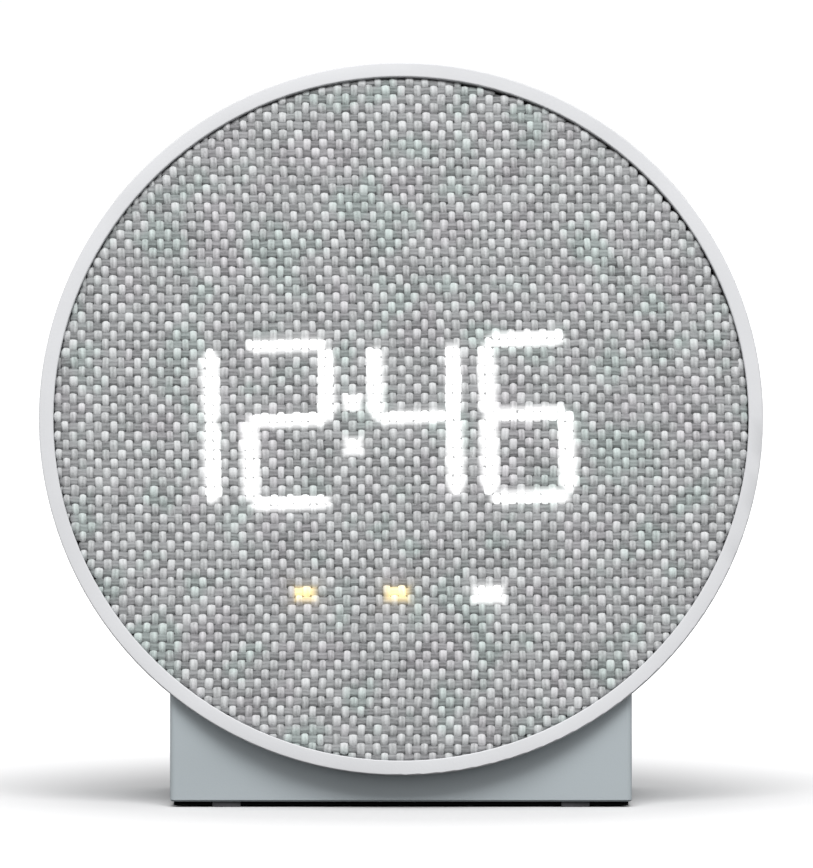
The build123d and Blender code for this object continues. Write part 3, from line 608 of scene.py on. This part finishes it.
def light_edge(across, up, middle, rise, wide, tall):
    """How far places lie outside a small rectangular light; less than nothing inside it."""
    return np.maximum(np.abs(across - middle) - wide / 2, np.abs(up - rise) - tall / 2)


def lit_amount(away):
    """Full inside a stroke, soft at its edge, with a faint halo in the cloth around it."""
    inside = np.clip(0.5 - away / EDGE_SOFTNESS, 0, 1)
    return 0.9 * inside + 0.12 * np.exp(-np.maximum(away, 0) / HALO_REACH)


def glow_at(across, up, display):
    """How lit a place is: by the white display and by the amber lights."""
    turn_c, turn_s = math.cos(display.roll), math.sin(display.roll)
    level = across * turn_c + up * turn_s
    height = -across * turn_s + up * turn_c
    nearest = np.full(len(level), 1.0)
    for middle, rise, length, upright in lit_strokes(display):
        along = np.abs((height - rise) if upright else (level - middle))
        away = np.abs((level - middle) if upright else (height - rise))
        half = display.stroke * (0.5 if upright else 0.4)
        taper = 0.45 * np.maximum(along - (length / 2 - half), 0)
        nearest = np.minimum(nearest, np.maximum(along - length / 2, away + taper - half))
    for rise in COLON_UP:
        dot = light_edge(level, height, COLON_ACROSS, rise, COLON_SIZE, COLON_SIZE)
        nearest = np.minimum(nearest, dot)
    lights = [light_edge(across, up, *mark) for mark in INDICATORS]
    nearest = np.minimum(nearest, lights[2])
    amber = np.minimum(lights[0], lights[1])
    return [lit_amount(away) for away in (nearest, amber)]


def add_glow(tree, shader, display, gain=1.0):
    """Feeds the display's light, held in the piece's attributes, to the shader's emission."""
    white = add_node(tree, "ShaderNodeAttribute", attribute_name="lit_white").outputs["Fac"]
    amber = add_node(tree, "ShaderNodeAttribute", attribute_name="lit_amber").outputs["Fac"]
    glow = mixed(tree, white, (0, 0, 0, 1), rgba(display.lit_colour, gain))
    glow = mixed(tree, amber, glow, rgba(display.amber_colour, gain))
    tree.links.new(glow, shader.inputs["Emission Color"])
    shader.inputs["Emission Strength"].default_value = 1.0


def yarn_material(name, colour, display, fibre_up, strands):
    """Spun yarn: strands with fibre streaks, a tint for each float, painted shade on the flanks and the display's
    light.
    """
    material, tree, shader, place = new_material(name, 0.85)
    shader.inputs["Specular IOR Level"].default_value = 0.12
    shader.inputs["Sheen Weight"].default_value = 0.12
    shader.inputs["Sheen Roughness"].default_value = 0.5
    tint = add_node(tree, "ShaderNodeAttribute", attribute_name="tint").outputs["Fac"]
    side = add_node(tree, "ShaderNodeAttribute", attribute_name="yarn_side").outputs["Fac"]
    stretch = (4200.0, 700.0, 700.0) if fibre_up else (700.0, 4200.0, 4200.0)
    streak_place = add_node(tree, "ShaderNodeMapping", {"Vector": place, "Scale": stretch}).outputs[0]
    streak = noise(tree, streak_place, 1.0, 3.0, 0.6)
    speck = noise(tree, place, 2600.0, 2.0, 0.6)
    wander = total(
        tree, product(tree, side, strands), product(tree, tint, 3.0), product(tree, streak, 1.6)
    )
    strand = product(tree, maths(tree, "SINE", product(tree, wander, math.pi)), 0.5)
    shares = ((tint, 0.30), (streak, 0.34), (speck, 0.36), (strand, 0.16))
    shade = total(tree, *[product(tree, value, share) for value, share in shares])
    dark, bright = [c * 0.62 for c in colour], [min(c * 1.25, 0.95) for c in colour]
    base = ramp(tree, shade, [(0.25, dark), (0.5, colour), (0.72, bright)])
    patch = noise(tree, place, 115.0, 2.0, 0.5)
    green, pink = (0.91, 1.0, 0.965), (1.0, 0.965, 0.985)
    warm = ramp(tree, patch, [(0.34, green), (0.46, 1.0), (0.54, 1.0), (0.66, pink)])
    toned = add_node(tree, "ShaderNodeMix", data_type="RGBA", blend_type="MULTIPLY")
    toned.inputs[0].default_value = 1.0
    tree.links.new(base, toned.inputs[6])
    tree.links.new(warm, toned.inputs[7])
    # painted shade: each yarn's colour darkens towards its flanks, where it curves away from the light
    flank_shade = product(tree, maths(tree, "POWER", maths(tree, "ABSOLUTE", side), 3.0), 0.6)
    flank_shaded = mixed(tree, flank_shade, toned.outputs[2], rgba([c * 0.35 for c in colour]))
    tree.links.new(flank_shaded, shader.inputs["Base Color"])
    add_glow(tree, shader, display)
    shares = ((streak, 0.6), (strand, 0.5), (speck, 0.5))
    fibres = total(tree, *[product(tree, value, share) for value, share in shares])
    set_bump(tree, shader, fibres, 0.8, 0.12 * MM)
    return material


class SPEAKER_OT_yarns(bpy.types.Operator):
    """Weaves the front: upright and level yarn floats over every crossing"""

    bl_idname = "speaker.yarns"
    bl_label = "Weave the front"

    def execute(self, context):
        cloth, display = context.scene.speaker_cloth, context.scene.speaker_display
        tree = yarn_tree("yarn_floats")
        reach = CLOTH_RADIUS + 0.9 * MM
        warp_length, weft_length = cloth.weft_pitch * 1.46, cloth.warp_pitch * 1.5
        warp_arch, weft_arch = cloth.arch * 1.25, cloth.arch * 0.3
        level = math.pi / 2
        looks = (
            ("warp_yarns", cloth.warp_colour, cloth.warp_width, warp_length, 0.0, 0, warp_arch, 1.6),
            ("weft_yarns", cloth.weft_colour, cloth.weft_width, weft_length, level, 1, weft_arch, 2.0),
        )
        for name, colour, width, length, turn, parity, arch, strands in looks:
            material = yarn_material(name, list(colour), display, parity == 0, strands)
            mesh = run_tree(
                name,
                tree,
                {
                    "Pitch Across": cloth.warp_pitch,
                    "Pitch Up": cloth.weft_pitch,
                    "Float Width": width,
                    "Float Length": length,
                    "Arch": arch,
                    "Crown": 0.2 * MM,
                    "Turn": turn,
                    "Radius": reach,
                    "Parity": parity,
                    "Seed": cloth.seed + parity,
                    "Material": material,
                },
            )
            flat = np.zeros(len(mesh.vertices) * 3)
            mesh.vertices.foreach_get("co", flat)
            places = flat.reshape(-1, 3)
            centre_across = read_attribute(mesh, "centre_across")
            centre_up = read_attribute(mesh, "centre_up")
            # each float is lit partly as a whole and partly point by point
            mix_across = centre_across * 0.35 + places[:, 0] * 0.65
            mix_up = centre_up * 0.3 + places[:, 1] * 0.7
            pulled_across, pulled_up = pulled(mix_across, mix_up)
            white, amber = glow_at(pulled_across, pulled_up, display)
            write_attribute(mesh, "lit_white", white)
            write_attribute(mesh, "lit_amber", amber)
            places[:, 0], places[:, 1] = pulled(places[:, 0], places[:, 1])
            places = wrapped(places, cloth.edge_round)
            places[:, 2] -= CLOTH_DEPTH + CLOTH_THICKNESS
            mesh.vertices.foreach_set("co", from_face(places).ravel())
            mesh.update()
            shade_smooth(mesh)
            new_piece(name, mesh)
        return {"FINISHED"}


class SPEAKER_OT_cloth_backing(bpy.types.Operator):
    """Lays the fine mesh sheet that the yarns are bonded to"""

    bl_idname = "speaker.cloth_backing"
    bl_label = "Lay the cloth's backing"

    def execute(self, context):
        cloth, display = context.scene.speaker_cloth, context.scene.speaker_display
        depth = CLOTH_DEPTH + 0.34 * MM
        bend = cloth.edge_round - CLOTH_THICKNESS
        outer = CLOTH_RADIUS - 0.35 * MM
        tuck = 4.0 * MM
        rings, bend_steps, steps = 100, 8, 320
        profile = [((outer - bend) * (k + 1) / rings, depth) for k in range(rings)]
        for k in range(1, bend_steps + 1):
            angle = math.pi / 2 * k / bend_steps
            rim, fall = bend * math.sin(angle), bend - bend * math.cos(angle)
            profile.append((outer - bend + rim, depth + fall))
        profile += [(outer, depth + bend + 1.5 * MM), (outer, depth + bend + tuck)]
        places = [FACE_MATRIX @ Vector((0, 0, -depth))] + turned_points(profile, steps)
        faces = [(0, 1 + (c + 1) % steps, 1 + c) for c in range(steps)]
        faces += [tuple(1 + i for i in face) for face in grid_faces(len(profile), steps)]
        mesh = bpy.data.meshes.new("cloth_backing")
        mesh.from_pydata(places, [], faces)
        mesh.update()
        if mesh.polygons[0].normal.dot(FORWARD) < 0:
            mesh.flip_normals()
        shade_smooth(mesh)
        flat = face_coordinates(np.array(places))
        white, amber = glow_at(flat[:, 0], flat[:, 1], display)
        write_attribute(mesh, "lit_white", white)
        write_attribute(mesh, "lit_amber", amber)
        material, tree, shader, place = new_material("cloth_backing", 0.9)
        knit = noise(tree, place, 1500.0, 2.0)
        paint(tree, shader, knit, 0.3, 0.7, list(cloth.backing_colour), 0.6, 1.3)
        add_glow(tree, shader, display, 0.35)
        set_bump(tree, shader, knit, 0.5, 0.1 * MM)
        mesh.materials.append(material)
        piece = new_piece("cloth_backing", mesh)
        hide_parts("grille_cloth")
        for name in ("warp_yarns", "weft_yarns"):
            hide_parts("grille_cloth")
        return {"FINISHED"}


# ---- shells and keys ------------------------------------------------------------------------------
SMOOTHED = (
    "drum_shell",
    "stand_body",
    "volume_down_button",
    "action_button",
    "volume_up_button",
)


class SPEAKER_OT_shells(bpy.types.Operator):
    """Copies the outer mouldings and keys with welded corners and smooth curved faces"""

    bl_idname = "speaker.shells"
    bl_label = "Smooth the mouldings"

    def execute(self, context):
        bodies = frame["record"]["behaviour"]["bodies"]
        rides = {node: body for body, held in bodies.items() for node in held}
        for name in SMOOTHED:
            mesh = nodes[name].data.copy()
            mesh.name = name + "_moulding"
            shell = bmesh.new()
            shell.from_mesh(mesh)
            bmesh.ops.remove_doubles(shell, verts=shell.verts, dist=WELD_DISTANCE)
            for edge in shell.edges:
                edge.smooth = edge.calc_face_angle(0.0) < SMOOTH_BELOW
            shell.to_mesh(mesh)
            shell.free()
            shade_smooth(mesh)
            piece = new_piece(name + "_moulding", mesh, rides[name])
            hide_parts(name)
        return {"FINISHED"}


class SPEAKER_OT_key_marks(bpy.types.Operator):
    """Prints a minus, a dot and a plus on the keys"""

    bl_idname = "speaker.key_marks"
    bl_label = "Mark the keys"

    def execute(self, context):
        finish = context.scene.speaker_finish
        ink = moulded_plastic("key_ink", list(finish.ink), 0.5, 1400.0, 0.1)
        long, wide = finish.mark_length / 2, finish.mark_width / 2
        minus = [(-long, -wide), (long, -wide), (long, wide), (-long, wide)]
        arm = [(-long, -wide), (-wide, -wide), (-wide, -long)]
        plus = []
        for quarter in range(4):
            plus += arm
            arm = [(-y, x) for x, y in arm]
        dot_radius, dot_corners = 2.2 * wide, 24
        turns = [2 * math.pi * k / dot_corners for k in range(dot_corners)]
        dot = [(dot_radius * math.cos(a), dot_radius * math.sin(a)) for a in turns]
        for node, body, outline in (
            ("volume_down_button", "volume_down_key", minus),
            ("action_button", "action_key", dot),
            ("volume_up_button", "volume_up_key", plus),
        ):
            low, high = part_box(node)
            middle = (Vector(low) + Vector(high)) / 2
            normal = -joint_axis(body.replace("_key", "_press"))
            back = normal.cross(ACROSS).normalized()
            top = max(Vector(v).dot(normal) for v in points_of(node))
            centre = middle + normal * (top - middle.dot(normal))
            piece = self.raise_mark(node, outline, centre, normal, -back)
            piece.data.materials.append(ink)
            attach(piece, body)
        return {"FINISHED"}

    def raise_mark(self, node, outline, centre, normal, back):
        """A printed mark that stands a hair over the key's highest point and is sunk into the key."""
        mark = bmesh.new()
        sunk, proud = -0.25 * MM, 0.02 * MM
        low, high = [
            [mark.verts.new(centre + ACROSS * x + back * y + normal * lift) for x, y in outline]
            for lift in (sunk, proud)
        ]
        count = len(outline)
        mark.faces.new(high)
        mark.faces.new(low[::-1])
        for k in range(count):
            after = (k + 1) % count
            mark.faces.new((low[k], low[after], high[after], high[k]))
        bmesh.ops.recalc_face_normals(mark, faces=mark.faces)
        mesh = bpy.data.meshes.new(node + "_mark")
        mark.to_mesh(mesh)
        mark.free()
        piece = bpy.data.objects.new(node + "_mark", mesh)
        bpy.context.scene.collection.objects.link(piece)
        return piece


# ---- studio ---------------------------------------------------------------------------------------
def area_light(name, place, aim, size, power):
    """A white rectangular softbox aimed at a point."""
    light = bpy.data.lights.new(name, "AREA")
    light.shape = "RECTANGLE"
    light.size, light.size_y = size
    light.energy = power
    holder = bpy.data.objects.new(name, light)
    bpy.context.scene.collection.objects.link(holder)
    holder.location = place
    holder.rotation_euler = (Vector(aim) - Vector(place)).to_track_quat("-Z", "Y").to_euler()


def floor_material(colour):
    """Pale floor that keeps its shadow near the object and evens out to white further away.

    Rays other than the camera's meet a dull floor instead, so that it throws little light back up.
    """
    material, tree, shader, place = new_material("studio_floor", 0.9)
    shader.inputs["Specular IOR Level"].default_value = 0.0
    paper = noise(tree, place, 60.0, 2.0)
    paint(tree, shader, paper, 0.3, 0.7, colour, 0.995, 1.0)
    reach = add_node(tree, "ShaderNodeVectorMath", {0: place}, operation="LENGTH").outputs["Value"]
    white = ramp(tree, reach, [(0.06, 0.0), (0.10, 0.2), (0.2, 0.5), (0.5, 0.75)])
    tree.links.new(white, shader.inputs["Emission Color"])
    shader.inputs["Emission Strength"].default_value = 1.0
    dull = add_node(tree, "ShaderNodeBsdfDiffuse", {"Color": (0.1, 0.1, 0.102, 1)})
    rays = add_node(tree, "ShaderNodeLightPath").outputs["Is Camera Ray"]
    both = add_node(tree, "ShaderNodeMixShader", {0: rays, 1: dull.outputs[0], 2: shader.outputs[0]})
    tree.links.new(both.outputs[0], tree.nodes["Material Output"].inputs["Surface"])
    return material


class SPEAKER_OT_stage(bpy.types.Operator):
    """Sets the floor, lights, world and camera"""

    bl_idname = "speaker.stage"
    bl_label = "Set the studio"

    def execute(self, context):
        scene, studio = context.scene, context.scene.speaker_studio
        scene.view_settings.view_transform = "Standard"

        mesh = bpy.data.meshes.new("studio_floor")
        reach = 30.0
        corners = [(-reach, -reach, 0), (reach, -reach, 0), (reach, reach, 0), (-reach, reach, 0)]
        mesh.from_pydata(corners, [], [(0, 1, 2, 3)])
        floor = bpy.data.objects.new("studio_floor", mesh)
        scene.collection.objects.link(floor)
        mesh.materials.append(floor_material(list(studio.floor_colour)))

        world = bpy.data.worlds.new("studio_world")
        scene.world = world
        world.use_nodes = True
        tree = world.node_tree
        sky = tree.nodes["Background"]
        sky.inputs["Color"].default_value = (1, 1, 1, 1)
        sky.inputs["Strength"].default_value = 0.80
        seen = add_node(tree, "ShaderNodeBackground", {"Color": (1, 1, 1, 1), "Strength": 1.02})
        rays = add_node(tree, "ShaderNodeLightPath").outputs["Is Camera Ray"]
        both = add_node(tree, "ShaderNodeMixShader", {0: rays, 1: sky.outputs[0], 2: seen.outputs[0]})
        tree.links.new(both.outputs[0], tree.nodes["World Output"].inputs[0])

        middle = Vector((0, 0, 0.06))
        area_light("top_softbox", (0.05, -0.85, 1.1), middle, (1.0, 0.6), 17.0)
        area_light("rear_softbox", (0.1, 1.2, 0.9), middle, (0.9, 0.9), 4.0)

        camera = bpy.data.cameras.new("studio_camera")
        holder = bpy.data.objects.new("studio_camera", camera)
        scene.collection.objects.link(holder)
        aim = Vector((studio.aim_across, FACE_CENTRE.y, studio.aim_height))
        away = Vector((0, -math.cos(studio.elevation), math.sin(studio.elevation)))
        holder.location = aim + away * studio.distance
        holder.rotation_euler = (-away).to_track_quat("-Z", "Y").to_euler()
        sensor = 36
        camera.sensor_width = sensor
        camera.lens = sensor * studio.distance / studio.view_height
        camera.clip_start, camera.clip_end = 0.05, 100
        scene.camera = holder
        return {"FINISHED"}


# ---- finishes on the CAD nodes --------------------------------------------------------------------
BRUSHED = (2400.0, 180.0, 2400.0)


def satin_metal(name, colour, roughness=0.34):
    """Plated steel: bright, slightly brushed, with uneven gloss."""
    material, tree, shader, place = new_material(name, roughness, metallic=1.0)
    drawn = add_node(tree, "ShaderNodeMapping", {"Vector": place, "Scale": BRUSHED}).outputs[0]
    paint(tree, shader, noise(tree, drawn, 1.0, 2.0), 0.2, 0.8, colour, 0.82, 1.0)
    uneven = noise(tree, place, 320.0)
    set_gloss(tree, shader, uneven, (0.3, roughness - 0.08), (0.7, roughness + 0.1))
    return material


def rubber(name, colour):
    """Matt rubber with a soft bloom."""
    material, tree, shader, place = new_material(name, 0.82)
    shader.inputs["Specular IOR Level"].default_value = 0.2
    paint(tree, shader, noise(tree, place, 420.0, 4.0), 0.3, 0.75, colour, 0.8, 1.5)
    set_bump(tree, shader, noise(tree, place, 3800.0, 2.0), 0.3, 0.04 * MM)
    return material


def circuit_board(name):
    """Green solder mask over tracks."""
    material, tree, shader, place = new_material(name, 0.32)
    values = {"Vector": place, "Scale": 420.0}
    cells = add_node(tree, "ShaderNodeTexVoronoi", values, distance="MANHATTAN").outputs["Distance"]
    tracks = ramp(tree, cells, [(0.28, (0.012, 0.085, 0.035)), (0.34, (0.02, 0.15, 0.06))])
    tree.links.new(tracks, shader.inputs["Base Color"])
    set_bump(tree, shader, cells, 0.2, 0.03 * MM)
    return material


def fibrous(name, colour, scale=900.0):
    """Pressed paper or impregnated cloth."""
    material, tree, shader, place = new_material(name, 0.9)
    pulp = noise(tree, place, scale, 5.0, 0.7)
    paint(tree, shader, pulp, 0.3, 0.7, colour, 0.6, 1.4)
    set_bump(tree, shader, pulp, 0.5, 0.08 * MM)
    return material


class SPEAKER_OT_finishes(bpy.types.Operator):
    """Gives every CAD node its finish"""

    bl_idname = "speaker.finishes"
    bl_label = "Finish the CAD nodes"

    def execute(self, context):
        finish = context.scene.speaker_finish
        # the near-zero black also paints the shade of the gap under the stand
        black = moulded_plastic("black_plastic", list(finish.black), 0.6, spread=0.25, specular=0.04)
        looks = {
            "shell_plastic": moulded_plastic("shell_plastic", list(finish.shell), 0.45),
            # the stand colour holds painted shade as well as its own blue-grey
            "stand_plastic": moulded_plastic("stand_plastic", list(finish.stand), 0.5, 2400.0, 0.035),
            "grille_cloth": black,
            "black_plastic": black,
            "white_plastic": moulded_plastic("white_plastic", [0.75, 0.75, 0.73], 0.4),
            "light_guide": moulded_plastic("light_guide", [0.85, 0.86, 0.88], 0.25),
            "circuit_board": circuit_board("circuit_board"),
            "chip": moulded_plastic("chip", [0.02, 0.02, 0.022], 0.6, 1800.0, 0.2),
            "capacitor": satin_metal("capacitor", [0.62, 0.62, 0.64], 0.3),
            "steel": satin_metal("steel", [0.56, 0.56, 0.55]),
            "ferrite": fibrous("ferrite", [0.035, 0.035, 0.04], 1500.0),
            "copper": satin_metal("copper", [0.72, 0.33, 0.14], 0.3),
            "cone_paper": fibrous("cone_paper", [0.02, 0.02, 0.022]),
            "spider_cloth": fibrous("spider_cloth", [0.42, 0.28, 0.10], 2200.0),
            "rubber": rubber("rubber", [0.02, 0.02, 0.021]),
            "foot_rubber": rubber("foot_rubber", list(finish.feet)),
            "ribbon": satin_metal("ribbon", [0.40, 0.20, 0.05], 0.4),
            "key_plastic": moulded_plastic("key_plastic", list(finish.keys), 0.42),
            "switch_orange": moulded_plastic("switch_orange", [0.62, 0.12, 0.02], 0.45),
        }
        for entry in frame["record"]["subparts"]:
            mesh = nodes[entry["node"]].data
            mesh.materials.clear()
            mesh.materials.append(looks[entry["material_slot"]])
        return {"FINISHED"}


# ---- panel, registration and the order of work ----------------------------------------------------
ORDER = ("finishes", "shells", "key_marks", "yarns", "cloth_backing", "stage")


class SPEAKER_PT_panel(bpy.types.Panel):
    """Lists the speaker's settings and the steps that build it"""

    bl_label = "Clock speaker"
    bl_idname = "SPEAKER_PT_panel"
    bl_space_type = "VIEW_3D"
    bl_region_type = "UI"
    bl_category = "Speaker"

    def draw(self, context):
        column = self.layout.column()
        for step in ORDER:
            column.operator("speaker." + step)
        for group in (
            context.scene.speaker_cloth,
            context.scene.speaker_display,
            context.scene.speaker_finish,
            context.scene.speaker_studio,
        ):
            box = column.box()
            for key in group.bl_rna.properties.keys():
                if key not in ("rna_type", "name"):
                    box.prop(group, key)


SETTINGS = {
    "speaker_cloth": ClothSettings,
    "speaker_display": DisplaySettings,
    "speaker_finish": FinishSettings,
    "speaker_studio": StudioSettings,
}
CLASSES = (
    *SETTINGS.values(),
    SPEAKER_OT_finishes,
    SPEAKER_OT_shells,
    SPEAKER_OT_key_marks,
    SPEAKER_OT_yarns,
    SPEAKER_OT_cloth_backing,
    SPEAKER_OT_stage,
    SPEAKER_PT_panel,
)


def register():
    for made in CLASSES:
        bpy.utils.register_class(made)
    for name, group in SETTINGS.items():
        setattr(bpy.types.Scene, name, PointerProperty(type=group))


def unregister():
    for name in SETTINGS:
        delattr(bpy.types.Scene, name)
    for made in reversed(CLASSES):
        bpy.utils.unregister_class(made)


def main():
    register()
    for step in ORDER:
        getattr(bpy.ops.speaker, step)()


if __name__ == "__main__":
    main()
